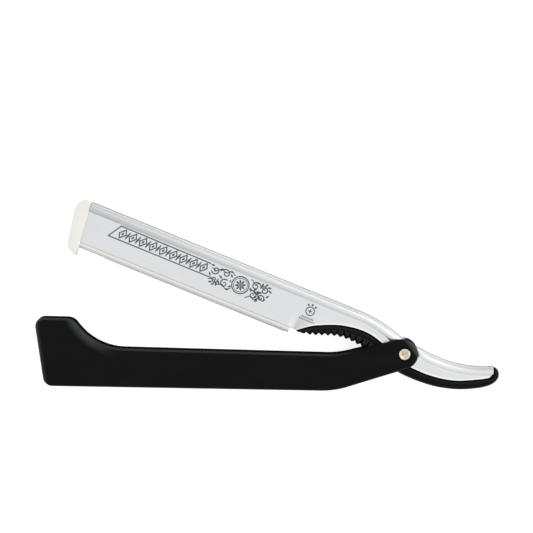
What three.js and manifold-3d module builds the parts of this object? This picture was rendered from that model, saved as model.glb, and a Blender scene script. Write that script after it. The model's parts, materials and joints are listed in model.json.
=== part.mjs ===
// Folding barber's straight razor with a replaceable blade, half open and lying on its side.
// Millimetres, +Z up along the pivot, +X along the handle towards the pivot end.
// The handle rests flat on z = 0, and the assembly's box is centred on x = 0, y = 0.

import * as THREE from 'three';
import { mergeVertices } from 'three/addons/utils/BufferGeometryUtils.js';
import Module from 'manifold-3d';

const wasm = await Module();
wasm.setup();

// ---------------------------------------------------------------- driving dimensions

const PIVOT_X = 43.46;
const PIVOT_Y = -18.53;
const HANDLE_SLOPE = 1.35;
const ARM_SLOPE = 22.13;

// Handle, in its own frame: pivot at the origin, -X towards the foot.
const HANDLE_THICKNESS = 8;
const SLOT_WIDTH = 5;
const EDGE_ROUND = 1.1;
const HANDLE_BOTTOM = -12.75;
const RIM_HEIGHT = -0.55;
const FOOT_TOP = 8.7;
const END_WALL = 2;
const WEB_THICKNESS = 1.8;
const WEB_CLEARANCE_RADIUS = 34;
const NOSE = { x: -0.5, y: -0.05, radius: 4.75, below: 18, above: 15.3 };

// Blade holder, in the arm's frame: pivot at the origin, -X towards the toe, spine up.
const SPINE_HEIGHT = 7.23;
const SPINE_START_X = -113;
const SPINE_FALL_X = -18.2;
const TOE_X = -109.8;
const EDGE_HEIGHT = -6.1;
const HEEL_X = -34.4;
const SHEET = 0.5;
const ROLL_RADIUS = 2.2;
const LEAF_HALF = 1.7;
const EDGE_PINCH = 0.4;
const FLARE_START_X = -36.6;
const FLARE_END_X = -34.2;
const FIT_GAP = 0.25;

// Pivot hardware.
const SHANK_RADIUS = 1.25;
const HOLE_RADIUS = 1.33;
const HEAD_RADIUS = 1.84;
const RECESS_RADIUS = 2.35;
const RECESS_DEPTH = 0.6;

// Cartridge and blade.
const BLADE_LENGTH = 62.3;
const BLADE_THICKNESS = 0.25;
const BLADE_HEEL_X = -37.3;
const LIP_BOTTOM = -7.65;
const BLADE_EDGE = -8;

// ---------------------------------------------------------------- materials

function metal(name, color, roughness) {
  return new THREE.MeshStandardMaterial({ name, color, roughness, metalness: 1 });
}

function plastic(name, color, roughness) {
  return new THREE.MeshStandardMaterial({ name, color, roughness, metalness: 0 });
}

// ---------------------------------------------------------------- solids

// A closed solid for joining and cutting, from a closed geometry.
function solid(geometry) {
  const bare = geometry.clone();
  bare.deleteAttribute('normal');
  bare.deleteAttribute('uv');
  const merged = mergeVertices(bare, 1e-5);
  return new wasm.Manifold(new wasm.Mesh({
    numProp: 3,
    vertProperties: new Float32Array(merged.attributes.position.array),
    triVerts: new Uint32Array(merged.index.array),
  }));
}

function toGeometry(body) {
  const mesh = body.getMesh();
  const geometry = new THREE.BufferGeometry();
  geometry.setAttribute('position', new THREE.BufferAttribute(mesh.vertProperties, 3));
  geometry.setIndex(new THREE.BufferAttribute(mesh.triVerts, 1));
  geometry.computeVertexNormals();
  return geometry;
}

function node(name, body, material) {
  const part = new THREE.Mesh(toGeometry(body), material);
  part.name = name;
  return part;
}

// A plate with its outline in the XY plane, between two heights.
function plate(shape, low, high, curveSegments = 8) {
  const options = { depth: high - low, bevelEnabled: false, curveSegments };
  return solid(new THREE.ExtrudeGeometry(shape, options).translate(0, 0, low));
}

// A plate centred on z = 0 whose outer edges are rounded without growing the outline.
function roundedPlate(shape, thickness, round, curveSegments = 8) {
  const options = {
    depth: thickness - 2 * round,
    bevelThickness: round,
    bevelSize: round,
    bevelOffset: -round,
    bevelSegments: 3,
    curveSegments,
  };
  const geometry = new THREE.ExtrudeGeometry(shape, options);
  return solid(geometry.translate(0, 0, round - thickness / 2));
}

// A prism along X, from a section drawn as [z, y] points.
function prism(section, startX, endX) {
  const shape = new THREE.Shape(section.map(([z, y]) => new THREE.Vector2(z, y)));
  const geometry = new THREE.ExtrudeGeometry(shape, { depth: endX - startX, bevelEnabled: false });
  return solid(geometry.rotateY(Math.PI / 2).translate(startX, 0, 0));
}

function pin(radius, low, high, x = 0, y = 0, sides = 32) {
  const geometry = new THREE.CylinderGeometry(radius, radius, high - low, sides);
  return solid(geometry.rotateX(Math.PI / 2).translate(x, y, (low + high) / 2));
}

// ---------------------------------------------------------------- outlines

function towards(from, to, distance) {
  return from.clone().add(to.clone().sub(from).setLength(distance));
}

// Adds a fillet of the given radius to a path at the corner between two neighbours.
function fillet(path, before, corner, after, radius) {
  const back = before.clone().sub(corner).normalize();
  const ahead = after.clone().sub(corner).normalize();
  const half = Math.acos(back.dot(ahead)) / 2;
  const reach = radius / Math.tan(half);
  const start = towards(corner, before, reach);
  const middle = back.clone().add(ahead).setLength(radius / Math.sin(half)).add(corner);
  const end = towards(corner, after, reach);
  const clockwise = back.cross(ahead) > 0;
  path.lineTo(start.x, start.y);
  path.absarc(
    middle.x, middle.y, radius,
    Math.atan2(start.y - middle.y, start.x - middle.x),
    Math.atan2(end.y - middle.y, end.x - middle.x),
    clockwise,
  );
}

// Side view of the handle: foot block, straight grip, and a neck that rises to a round nose.
function handleOutline() {
  const rad = THREE.MathUtils.degToRad;
  const below = rad(NOSE.below);
  const above = rad(NOSE.above);
  const lowTangent = new THREE.Vector2(
    NOSE.x + NOSE.radius * Math.sin(below), NOSE.y - NOSE.radius * Math.cos(below));
  const highTangent = new THREE.Vector2(
    NOSE.x - NOSE.radius * Math.sin(above), NOSE.y + NOSE.radius * Math.cos(above));
  const footLow = new THREE.Vector2(-114, HANDLE_BOTTOM - 0.15);
  const neckLow = new THREE.Vector2(-21.8, HANDLE_BOTTOM + 0.65);
  const neckHigh = new THREE.Vector2(-21.2, RIM_HEIGHT - 0.1);
  const footNotch = new THREE.Vector2(-97.5, RIM_HEIGHT + 0.1);
  const footRight = new THREE.Vector2(-105.1, FOOT_TOP);
  const footLeft = new THREE.Vector2(-117.5, FOOT_TOP);
  const shape = new THREE.Shape();
  shape.moveTo(-60, HANDLE_BOTTOM);
  fillet(shape, footLow, neckLow, lowTangent, 27);
  shape.lineTo(lowTangent.x, lowTangent.y);
  shape.absarc(NOSE.x, NOSE.y, NOSE.radius, below - Math.PI / 2, above + Math.PI / 2, false);
  fillet(shape, highTangent, neckHigh, footNotch, 27);
  fillet(shape, neckHigh, footNotch, footRight, 19);
  fillet(shape, footNotch, footRight, footLeft, 4);
  fillet(shape, footRight, footLeft, footLow, 2.8);
  fillet(shape, footLeft, footLow, neckLow, 3);
  shape.closePath();
  return shape;
}

// The slot between the cheeks: open along the top, closed by the end wall and the web,
// and open right through near the pivot, where the tail swings.
function slotOutline() {
  const lean = 0.171;
  const wallAt = (y) => -116.97 + (5.5 - y) * lean + END_WALL;
  const floor = HANDLE_BOTTOM + WEB_THICKNESS;
  const shape = new THREE.Shape();
  const webTop = new THREE.Vector2(-Math.sqrt(WEB_CLEARANCE_RADIUS ** 2 - floor ** 2), floor);
  shape.moveTo(20, 20);
  shape.lineTo(wallAt(20), 20);
  fillet(shape, new THREE.Vector2(wallAt(20), 20), new THREE.Vector2(wallAt(floor), floor), webTop, 2);
  shape.lineTo(webTop.x, webTop.y);
  shape.lineTo(webTop.x + 1, HANDLE_BOTTOM - 4);
  shape.lineTo(20, HANDLE_BOTTOM - 4);
  shape.closePath();
  return shape;
}

// The holder's back: straight over the blade, falling over the shank, rising along the tail.
function spineCurve() {
  const rad = THREE.MathUtils.degToRad;
  const path = new THREE.Path();
  path.moveTo(SPINE_START_X, SPINE_HEIGHT);
  path.lineTo(SPINE_FALL_X, SPINE_HEIGHT);
  path.absarc(SPINE_FALL_X, SPINE_HEIGHT - 42.1, 42.1, rad(90), rad(75.3), true);
  path.lineTo(-3.2, 4.72);
  path.bezierCurveTo(-0.3, 3.96, 2.5, 3.79, 5.4, 3.39);
  path.absarc(10.6, 41.54, 38.5, rad(262.2), rad(296.3), false);
  return path;
}

// The holder's free lower edge, from the heel along the shank and tail, lowered by a margin.
function lowerEdge(margin) {
  const points = [
    [HEEL_X, EDGE_HEIGHT], [-31.05, -3.35], [-28.25, -1.81], [-25.37, -0.49], [-22.39, 0.61],
    [-19.26, 1.31], [-16, 1.71], [-12.54, 1.61], [-8.74, 0.67], [-4.5, -1.3], [0, -2.95],
    [5.58, -3.42], [10.02, -3.41], [14.9, -2.75], [19.47, -1.41], [25.18, 1.39], [27.6, 2.75],
  ];
  return new THREE.SplineCurve(points.map(([x, y]) => new THREE.Vector2(x, y - margin)));
}

// Everything of the holder in side view, with open room above the spine.
function holderOutline(margin) {
  const edge = lowerEdge(margin).getPoints(44);
  const shape = new THREE.Shape();
  shape.moveTo(60, 30);
  shape.lineTo(TOE_X, 30);
  shape.lineTo(TOE_X, 4.4);
  shape.lineTo(TOE_X + 1.25, EDGE_HEIGHT - margin);
  edge.forEach((p) => shape.lineTo(p.x, p.y));
  shape.quadraticCurveTo(28.5 + margin, 3.3 - margin, 28.6 + margin, 4.4);
  shape.lineTo(27.5 + margin, 7.1);
  shape.lineTo(60, 30);
  return shape;
}

// ---------------------------------------------------------------- blade holder

const spine = spineCurve();
const spineLength = spine.getLength();

function spineFrame(station) {
  const at = Math.min(Math.max(station / spineLength, 0), 1);
  const tangent = spine.getTangentAt(at);
  return { point: spine.getPointAt(at), normal: new THREE.Vector2(-tangent.y, tangent.x) };
}

function ramp(value, start, end) {
  return THREE.MathUtils.clamp((value - start) / (end - start), 0, 1);
}

// How far each wall moves inward: the leaves close towards the cutting edge along the blade,
// and the spine roll is pressed flat where the washers bear.
function pinch(x, depth) {
  const rollDepth = 3.6;
  const leafPinch = EDGE_PINCH * Math.max(0, depth - rollDepth) / (SPINE_HEIGHT - EDGE_HEIGHT - rollDepth);
  const alongBlade = 1 - ramp(x, FLARE_START_X, FLARE_END_X);
  const rise = ROLL_RADIUS ** 2 - (depth - ROLL_RADIUS) ** 2;
  const rollPinch = depth < rollDepth ? Math.max(0, Math.sqrt(Math.max(0, rise)) - LEAF_HALF) : 0;
  const nearPivot = ramp(x, -5.4, -3.9) * (1 - ramp(x, 3.2, 4.4));
  return leafPinch * alongBlade + rollPinch * nearPivot;
}

// Section of the folded sheet: a round roll along the spine, then two flat leaves.
function sheetSection() {
  const depth = 15;
  const inner = ROLL_RADIUS - SHEET;
  const innerLeaf = LEAF_HALF - SHEET;
  const outerAngle = Math.acos(LEAF_HALF / ROLL_RADIUS);
  const innerAngle = Math.acos(innerLeaf / inner);
  const shape = new THREE.Shape();
  shape.moveTo(LEAF_HALF, -depth);
  shape.absarc(0, -ROLL_RADIUS, ROLL_RADIUS, -outerAngle, Math.PI + outerAngle, false);
  shape.lineTo(-LEAF_HALF, -depth);
  shape.lineTo(-innerLeaf, -depth);
  shape.absarc(0, -ROLL_RADIUS, inner, Math.PI + innerAngle, -innerAngle, true);
  shape.lineTo(innerLeaf, -depth);
  shape.closePath();
  return shape;
}

// Distances along the spine at which the sheet's section is set.
function sheetStations() {
  const curveStart = SPINE_FALL_X - SPINE_START_X;
  const steps = 30;
  const curved = Array.from({ length: steps + 1 }, (_, i) =>
    curveStart + (spineLength - curveStart) * i / steps);
  return [0, FLARE_START_X - SPINE_START_X, FLARE_END_X - SPINE_START_X, ...curved];
}

function foldedSheet() {
  const stations = sheetStations();
  const steps = stations.length - 1;
  const options = { depth: steps, steps, bevelEnabled: false, curveSegments: 7 };
  const geometry = new THREE.ExtrudeGeometry(sheetSection(), options);
  const position = geometry.attributes.position;
  for (let i = 0; i < position.count; i += 1) {
    const { point, normal } = spineFrame(stations[Math.round(position.getZ(i))]);
    const depth = -position.getY(i);
    const half = position.getX(i);
    const place = point.clone().addScaledVector(normal, -depth);
    position.setXYZ(i, place.x, place.y, -(half - Math.sign(half) * pinch(point.x, depth)));
  }
  return solid(geometry);
}

function holderShell() {
  const outline = plate(holderOutline(0), -5, 5);
  const hole = pin(HOLE_RADIUS, -5, 5);
  return foldedSheet().intersect(outline).subtract(hole);
}

// ---------------------------------------------------------------- grip core

// The underside of the core, along the tips of the serrations and on round the tail.
function gripLine() {
  const points = [
    [-34.3, -6.35], [-30.5, -5.95], [-26.5, -4.6], [-22.7, -3.25], [-19, -2.7], [-14.5, -3],
    [-9, -4.1], [-4, -5.3], [0.5, -6.25], [4.8, -6.54], [9.5, -6.42], [14.4, -5.78],
    [20.5, -4.02], [26.2, -1.2], [28.9, 0.82],
  ];
  return new THREE.SplineCurve(points.map(([x, y]) => new THREE.Vector2(x, y)));
}

// Points along the grip line, with finger serrations under the shank.
function serratedEdge() {
  const line = gripLine();
  const length = line.getLength();
  const pitch = 1.97;
  const teeth = 13;
  const profile = [[0, 0], [0.28, 0.62], [0.5, 0.72], [0.72, 0.62]];
  const points = [];
  for (let tooth = 0; tooth < teeth; tooth += 1) {
    profile.forEach(([along, depth]) => {
      const at = (2 + (tooth + along) * pitch) / length;
      const tangent = line.getTangentAt(at);
      const point = line.getPointAt(at);
      points.push(new THREE.Vector2(point.x - tangent.y * depth, point.y + tangent.x * depth));
    });
  }
  const smoothStart = (2 + teeth * pitch) / length;
  const smoothSteps = 18;
  for (let i = 0; i <= smoothSteps; i += 1) {
    points.push(line.getPointAt(smoothStart + (1 - smoothStart) * i / smoothSteps));
  }
  return points;
}

// The core fills the fold below the spine roll and wraps round the end of the tail.
function coreOutline() {
  const shape = new THREE.Shape();
  const topDepth = 4;
  const start = -31 - SPINE_START_X;
  const steps = 26;
  shape.moveTo(-34.2, -6.4);
  serratedEdge().forEach((p) => shape.lineTo(p.x, p.y));
  shape.bezierCurveTo(30, 1.85, 30.8, 3.7, 30.35, 4.75);
  shape.quadraticCurveTo(29.75, 6.55, 28.2, 6.65);
  shape.lineTo(28.95, 4.35);
  shape.lineTo(28.3, 3.9);
  for (let i = steps; i >= 0; i -= 1) {
    const { point, normal } = spineFrame(start + (spineLength - 1.2 - start) * i / steps);
    shape.lineTo(point.x - normal.x * topDepth, point.y - normal.y * topDepth);
  }
  shape.closePath();
  return shape;
}

function gripCore() {
  const whole = plate(coreOutline(), -LEAF_HALF, LEAF_HALF);
  const web = LEAF_HALF - SHEET - FIT_GAP;
  const outline = holderOutline(FIT_GAP);
  const front = plate(outline, web, 5);
  const back = plate(outline, -5, -web);
  return whole.subtract(front).subtract(back).subtract(pin(HOLE_RADIUS, -5, 5));
}

// ---------------------------------------------------------------- cartridge and blade

// Half section of the cartridge as [z, y] points, from its top down to the lip.
function cartridgeSide() {
  return [[0.6, 3], [0.95, 2.6], [0.55, -5.9], [0.55, -6.35], [0.8, -6.45], [0.85, -6.8], [0.6, LIP_BOTTOM]];
}

function mirrored(side) {
  return side.map(([z, y]) => [-z, y]).reverse();
}

function toeTab() {
  const shape = new THREE.Shape();
  shape.moveTo(-110.15, 7.1);
  shape.quadraticCurveTo(-113.6, 7.5, -114.04, 3.4);
  shape.lineTo(-112.3, -6.5);
  shape.bezierCurveTo(-111.9, -8.9, -110.4, -9.9, -108.8, -10.2);
  shape.quadraticCurveTo(-107.9, -10.3, -108.05, -9.4);
  shape.lineTo(-108.4, -7.3);
  shape.lineTo(-108.4, -6.4);
  shape.lineTo(-108.9, -6.3);
  shape.lineTo(-110.15, 4.4);
  shape.closePath();
  return roundedPlate(shape, 3.8, 0.35, 4);
}

function bladeInsert() {
  const side = cartridgeSide();
  const slotHalf = 0.2;
  const slotTop = -0.4;
  const slot = [[slotHalf, LIP_BOTTOM], [slotHalf, slotTop], [-slotHalf, slotTop], [-slotHalf, LIP_BOTTOM]];
  const solidEnd = prism([...side, ...mirrored(side)], -111, -99.9);
  const slotted = prism([...side, ...slot, ...mirrored(side)], -100.4, -36.7);
  const pegs = bladeHoles().map(([x, y]) => pin(0.8, -0.5, 0.5, x, y, 16));
  return pegs.reduce((body, peg) => body.add(peg), toeTab().add(solidEnd).add(slotted));
}

function bladeHoles() {
  const middle = BLADE_HEEL_X - BLADE_LENGTH / 2;
  return [[middle - 20, -2.9], [middle + 20, -2.9]];
}

function blade() {
  const half = BLADE_THICKNESS / 2;
  const side = [[half, -0.8], [half, BLADE_EDGE + 0.6], [0.03, BLADE_EDGE]];
  const strip = prism([...side, ...mirrored(side)], BLADE_HEEL_X - BLADE_LENGTH, BLADE_HEEL_X);
  return bladeHoles().reduce((body, [x, y]) => body.subtract(pin(1.1, -1, 1, x, y, 24)), strip);
}

// ---------------------------------------------------------------- handle and pivot

function handle() {
  const cheek = HANDLE_THICKNESS / 2;
  const slot = plate(slotOutline(), -SLOT_WIDTH / 2, SLOT_WIDTH / 2);
  const bore = pin(HOLE_RADIUS, -cheek - 1, cheek + 1);
  const front = pin(RECESS_RADIUS, cheek - RECESS_DEPTH, cheek + 1);
  const back = pin(RECESS_RADIUS, -cheek - 1, RECESS_DEPTH - cheek);
  return roundedPlate(handleOutline(), HANDLE_THICKNESS, EDGE_ROUND)
    .subtract(slot).subtract(bore).subtract(front).subtract(back);
}

// Semi-tubular rivet: a dished head in front, and a hollow end spread over the burr behind.
function pivotRivet() {
  const profile = [
    [0, 3.85], [0.9, 3.88], [1.3, 4.02], [1.55, 4.15], [1.74, 4.1], [HEAD_RADIUS, 3.95],
    [HEAD_RADIUS, 3.5], [SHANK_RADIUS, 3.5], [SHANK_RADIUS, -3.8], [1.7, -3.8], [1.75, -3.88],
    [1.6, -3.95], [1.1, -3.95], [0.75, -3.4], [0.7, -2.4], [0, -2.2],
  ];
  const points = profile.reverse().map(([r, z]) => new THREE.Vector2(r, z));
  return solid(new THREE.LatheGeometry(points, 32).rotateX(Math.PI / 2));
}

function ring(inner, outer, low, high) {
  return pin(outer, low, high).subtract(pin(inner, low - 1, high + 1));
}

// ---------------------------------------------------------------- assembly

function handleGroup() {
  const group = new THREE.Group();
  group.rotation.z = -THREE.MathUtils.degToRad(HANDLE_SLOPE);
  group.add(node('handle', handle(), plastic('black_plastic', 0x141514, 0.42)));
  group.add(node('pivot_rivet', pivotRivet(), metal('nickel_silver', 0xc9bfa4, 0.35)));
  group.add(node('rivet_burr', ring(1.35, 2.1, -3.75, -3.45), metal('nickel_silver', 0xb9af96, 0.4)));
  group.add(node('front_washer', ring(1.6, 2.9, 1.85, 2.35), metal('washer_brass', 0xb59a5c, 0.4)));
  group.add(node('back_washer', ring(1.6, 2.9, -2.35, -1.85), metal('washer_brass', 0xb59a5c, 0.4)));
  return group;
}

function armGroup() {
  const group = new THREE.Group();
  group.rotation.z = -THREE.MathUtils.degToRad(ARM_SLOPE);
  group.add(node('holder_shell', holderShell(), metal('satin_steel', 0xd8dadc, 0.38)));
  group.add(node('grip_core', gripCore(), plastic('black_core', 0x191919, 0.5)));
  group.add(node('blade_insert', bladeInsert(), plastic('ivory_plastic', 0xedece6, 0.45)));
  group.add(node('blade', blade(), metal('blade_steel', 0xbfc2c4, 0.3)));
  return group;
}

const razor = new THREE.Group();
razor.position.set(PIVOT_X, PIVOT_Y, HANDLE_THICKNESS / 2);
razor.add(handleGroup());
razor.add(armGroup());

export default razor;
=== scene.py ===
import bisect
import json
import math

import bmesh
import bpy
from mathutils import Matrix, Vector
from mathutils.kdtree import KDTree


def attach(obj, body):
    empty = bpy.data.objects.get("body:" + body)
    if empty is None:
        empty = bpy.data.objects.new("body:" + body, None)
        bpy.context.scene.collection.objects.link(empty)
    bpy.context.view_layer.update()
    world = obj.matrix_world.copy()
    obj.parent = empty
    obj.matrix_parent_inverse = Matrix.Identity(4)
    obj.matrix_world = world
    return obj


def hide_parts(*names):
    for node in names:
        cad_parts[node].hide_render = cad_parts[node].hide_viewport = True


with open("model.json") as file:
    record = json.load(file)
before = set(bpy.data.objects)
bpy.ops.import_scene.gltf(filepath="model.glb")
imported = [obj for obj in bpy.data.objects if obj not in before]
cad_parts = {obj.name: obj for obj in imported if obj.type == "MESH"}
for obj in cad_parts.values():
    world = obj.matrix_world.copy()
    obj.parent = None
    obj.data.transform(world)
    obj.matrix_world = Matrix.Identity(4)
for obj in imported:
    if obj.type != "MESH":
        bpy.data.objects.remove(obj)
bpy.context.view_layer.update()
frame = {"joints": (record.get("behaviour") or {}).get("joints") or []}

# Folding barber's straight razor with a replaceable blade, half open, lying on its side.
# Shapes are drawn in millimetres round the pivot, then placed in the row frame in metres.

# ---- dimensions, mm

HANDLE_SLOPE = math.radians(1.35)
ARM_SLOPE = math.radians(22.13)
PIVOT = Vector(frame["joints"][0]["pos_m"])

CHEEK = 4.0
SLOT_HALF = 2.5
HANDLE_BOTTOM = -12.86
RIM_HEIGHT = -0.43
FOOT_TOP = 8.8
END_WALL = 2.0
# A place on the foot's outer end, and how far that end leans for each millimetre of height.
END_FACE_X = -116.97
END_FACE_Y = 5.5
END_LEAN = 0.171
WEB = 1.8
# The slot is open right through up to this far from the pivot, where the tail swings.
WEB_CLEARANCE = 34.0
NOSE = Vector((-0.5, -0.05))
NOSE_RADIUS = 4.82
# Centre of the hollow where the foot meets the upper rim.
FOOT_HOLLOW_X = -88.6
FOOT_HOLLOW_Y = 18.45
HOLE = 1.33
RECESS = 2.35
RECESS_DEPTH = 0.6
# Further out than any part of the razor, for cutters that go right through.
CLEAR = 6

SPINE_HEIGHT = 7.33
SPINE_START = -109.35
SPINE_FALL = -18.2
STRAIGHT_STEPS = 40
EDGE_HEIGHT = -6.0
HEEL_X = -34.4
SHEET = 0.5
ROLL = 2.2
ROLL_SQUASH = 0.878
# Depths, before the roll is squashed, between which it runs into the flat leaf.
BLEND_START = 3.3
BLEND_END = 4.05
LEAF_HALF = 1.7
EDGE_PINCH = 0.4
# Points round each cut edge of the sheet.
LIPS = 7

BLADE_LENGTH = 62.3
BLADE_HEEL = -37.3
LIP_BOTTOM = -7.78
BLADE_EDGE = -8.0
TAB_HALF = 1.9


def placed(slope):
    """Drawing plane in millimetres round the pivot, to the row frame in metres."""
    return Matrix.Translation(PIVOT) @ Matrix.Rotation(-slope, 4, "Z") @ Matrix.Scale(0.001, 4)


HANDLE_FRAME = placed(HANDLE_SLOPE)
ARM_FRAME = placed(ARM_SLOPE)


def clamp(value, low=0.0, high=1.0):
    return max(low, min(high, value))


def smooth(value, start, end):
    t = clamp((value - start) / (end - start))
    return t * t * (3 - 2 * t)


def mix(a, b, t):
    return a + (b - a) * t


def hump(value, centre, width):
    return math.exp(-((value - centre) / width) ** 2)


# ---- outlines

def fillet(before, corner, after, radius):
    """Arc that rounds a corner: centre, radius, start angle, end angle."""
    back = (before - corner).normalized()
    ahead = (after - corner).normalized()
    half = math.acos(clamp(back.dot(ahead), -1, 1)) / 2
    reach = radius / math.tan(half)
    start = corner + back * reach
    end = corner + ahead * reach
    centre = corner + (back + ahead).normalized() * (radius / math.sin(half))
    a = math.atan2(start.y - centre.y, start.x - centre.x)
    b = math.atan2(end.y - centre.y, end.x - centre.x)
    left_turn = back.x * ahead.y - back.y * ahead.x < 0
    if left_turn and b < a:
        b += 2 * math.pi
    if not left_turn and b > a:
        b -= 2 * math.pi
    return centre, radius, a, b


def ring_of_arcs(arcs, step=0.35, run=6.0):
    """Points and outward normals round a closed left-turning path of arcs joined by straight runs."""
    out = []
    ends = []
    for centre, radius, a, b in arcs:
        count = max(4, int(abs(b - a) * radius / step))
        side = 1 if b > a else -1
        pts = []
        for i in range(count + 1):
            t = mix(a, b, i / count)
            ray = Vector((math.cos(t), math.sin(t)))
            pts.append((centre + ray * radius, ray * side))
        ends.append(pts)
    for index, pts in enumerate(ends):
        out.extend(pts)
        here, normal = pts[-1]
        there = ends[(index + 1) % len(ends)][0][0]
        count = int((there - here).length / run)
        for i in range(1, count + 1):
            out.append((here.lerp(there, i / (count + 1)), normal))
    return out


def spline(points, per_span=12):
    """Smooth open curve through the points."""
    pts = [Vector(p) for p in points]
    out = []
    for i in range(len(pts) - 1):
        p0 = pts[max(i - 1, 0)]
        p1, p2 = pts[i], pts[i + 1]
        p3 = pts[min(i + 2, len(pts) - 1)]
        for k in range(per_span):
            t = k / per_span
            a = (p2 - p0) * 0.5
            b = (p3 - p1) * 0.5
            out.append(p1 * (2 * t ** 3 - 3 * t ** 2 + 1) + a * (t ** 3 - 2 * t ** 2 + t)
                       + p2 * (3 * t ** 2 - 2 * t ** 3) + b * (t ** 3 - t ** 2))
    out.append(pts[-1])
    return out


def bezier(p0, p1, p2, p3, count):
    pts = [Vector(p) for p in (p0, p1, p2, p3)]
    out = []
    for i in range(1, count + 1):
        t = i / count
        out.append(pts[0] * (1 - t) ** 3 + pts[1] * 3 * t * (1 - t) ** 2
                   + pts[2] * 3 * t * t * (1 - t) + pts[3] * t ** 3)
    return out


def quadratic(p0, p1, p2, count):
    a, b, c = (Vector(p) for p in (p0, p1, p2))
    steps = [i / count for i in range(1, count + 1)]
    return [a * (1 - t) ** 2 + b * 2 * t * (1 - t) + c * t * t for t in steps]


def straight(start, end, count):
    start, end = Vector(start), Vector(end)
    return [start.lerp(end, i / count) for i in range(1, count + 1)]


def around(centre, radius, angle):
    return (centre[0] + radius * math.cos(angle), centre[1] + radius * math.sin(angle))


def circle(centre, radius, count):
    return [around(centre, radius, 2 * math.pi * i / count) for i in range(count)]


def arc(centre, radius, start, end, count):
    """Points along an arc after its first one, between two angles in degrees."""
    angles = [math.radians(mix(start, end, i / count)) for i in range(1, count + 1)]
    return [Vector(around(centre, radius, a)) for a in angles]


class Track:
    """A polyline that can be walked by distance."""

    def __init__(self, points):
        self.points = points
        self.at = [0.0]
        for a, b in zip(points, points[1:]):
            self.at.append(self.at[-1] + (b - a).length)
        self.length = self.at[-1]

    def point(self, distance):
        d = clamp(distance, 0, self.length)
        low = min(bisect.bisect_right(self.at, d), len(self.at) - 1) - 1
        span = self.at[low + 1] - self.at[low]
        t = (d - self.at[low]) / span if span else 0
        return self.points[low].lerp(self.points[low + 1], t)

    def tangent(self, distance):
        d = clamp(distance, 0.15, self.length - 0.15)
        return (self.point(d + 0.15) - self.point(d - 0.15)).normalized()

    def nearest(self, target, low):
        """Distance along the track, from low on, of its corner nearest to the target."""
        return min(((p - target).length, at) for at, p in zip(self.at, self.points) if at >= low)[1]


# ---- meshes

def link(name, data):
    obj = bpy.data.objects.new(name, data)
    bpy.context.scene.collection.objects.link(obj)
    return obj


def raw_mesh(name, verts, faces, matrix):
    mesh = bpy.data.meshes.new(name)
    mesh.from_pydata([matrix @ Vector(v) for v in verts], [], faces)
    mesh.update()
    return mesh


def tidy_mesh(mesh, sharp=38):
    """Outward faces, smooth shading, and sharp edges where faces meet steeply."""
    bm = bmesh.new()
    bm.from_mesh(mesh)
    bmesh.ops.remove_doubles(bm, verts=bm.verts, dist=1e-7)
    bmesh.ops.recalc_face_normals(bm, faces=bm.faces)
    bm.to_mesh(mesh)
    bm.free()
    mesh.shade_smooth()
    mesh.set_sharp_from_angle(angle=math.radians(sharp))


def bridge(rings, closed_ends=True):
    """Faces between equal closed rings of vertices, as numbers into one flat list."""
    count = len(rings[0])
    faces = []
    for r in range(len(rings) - 1):
        a, b = r * count, (r + 1) * count
        for i in range(count):
            j = (i + 1) % count
            faces.append((a + i, a + j, b + j, b + i))
    if closed_ends:
        faces.append(tuple(reversed(range(count))))
        faces.append(tuple(range((len(rings) - 1) * count, len(rings) * count)))
    return faces


def lofted(name, rings, matrix, sharp=38):
    """A solid through equal closed rings of vertices."""
    verts = [v for ring in rings for v in ring]
    obj = link(name, raw_mesh(name, verts, bridge(rings), matrix))
    tidy_mesh(obj.data, sharp)
    return obj


def carve(obj, cutter, operation="DIFFERENCE"):
    """Joins or cuts two solids, and keeps the result as plain mesh."""
    modifier = obj.modifiers.new("carve", "BOOLEAN")
    modifier.operation = operation
    modifier.solver = "EXACT"
    modifier.object = cutter
    bpy.context.view_layer.update()
    graph = bpy.context.evaluated_depsgraph_get()
    result = bpy.data.meshes.new_from_object(obj.evaluated_get(graph))
    obj.modifiers.clear()
    old = obj.data
    obj.data = result
    bpy.data.meshes.remove(old)
    spent = cutter.data
    bpy.data.objects.remove(cutter)
    bpy.data.meshes.remove(spent)


def ease_edges(mesh, width, steeper=50, segments=2, keep=lambda edge: True):
    """Small rounds on the sharp edges of a mesh."""
    bm = bmesh.new()
    bm.from_mesh(mesh)
    bmesh.ops.remove_doubles(bm, verts=bm.verts, dist=2e-7)
    bmesh.ops.dissolve_degenerate(bm, edges=bm.edges, dist=1e-7)
    limit = math.radians(steeper)
    edges = [e for e in bm.edges
             if len(e.link_faces) == 2 and e.calc_face_angle(0) > limit and keep(e)]
    bmesh.ops.bevel(bm, geom=edges, offset=width * 0.001, segments=segments, profile=0.5,
                    affect="EDGES", clamp_overlap=True, harden_normals=False)
    bm.to_mesh(mesh)
    bm.free()


def prism(name, outline, low, high, matrix):
    """Plate between two heights, from a closed outline of points."""
    return lofted(name, [[(p[0], p[1], z) for p in outline] for z in (low, high)], matrix)


def turned(name, profile, sides, matrix, closed=False):
    """Solid of revolution round the pivot. The profile is a list of (radius, height)."""
    verts, faces, rows = [], [], []
    for radius, height in profile:
        ring = circle((0, 0), radius, sides) if radius else [(0, 0)]
        rows.append(range(len(verts), len(verts) + len(ring)))
        verts += [(x, y, height) for x, y in ring]
    pairs = list(zip(rows, rows[1:]))
    if closed:
        pairs.append((rows[-1], rows[0]))
    for a, b in pairs:
        for i in range(sides):
            j = (i + 1) % sides
            if len(a) == 1:
                faces.append((a[0], b[j], b[i]))
            elif len(b) == 1:
                faces.append((a[i], a[j], b[0]))
            else:
                faces.append((a[i], a[j], b[j], b[i]))
    obj = link(name, raw_mesh(name, verts, faces, matrix))
    tidy_mesh(obj.data)
    return obj


def cylinder(name, x, y, radius, low, high, matrix, sides=48):
    return prism(name, circle((x, y), radius, sides), low, high, matrix)


# ---- handle

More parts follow.
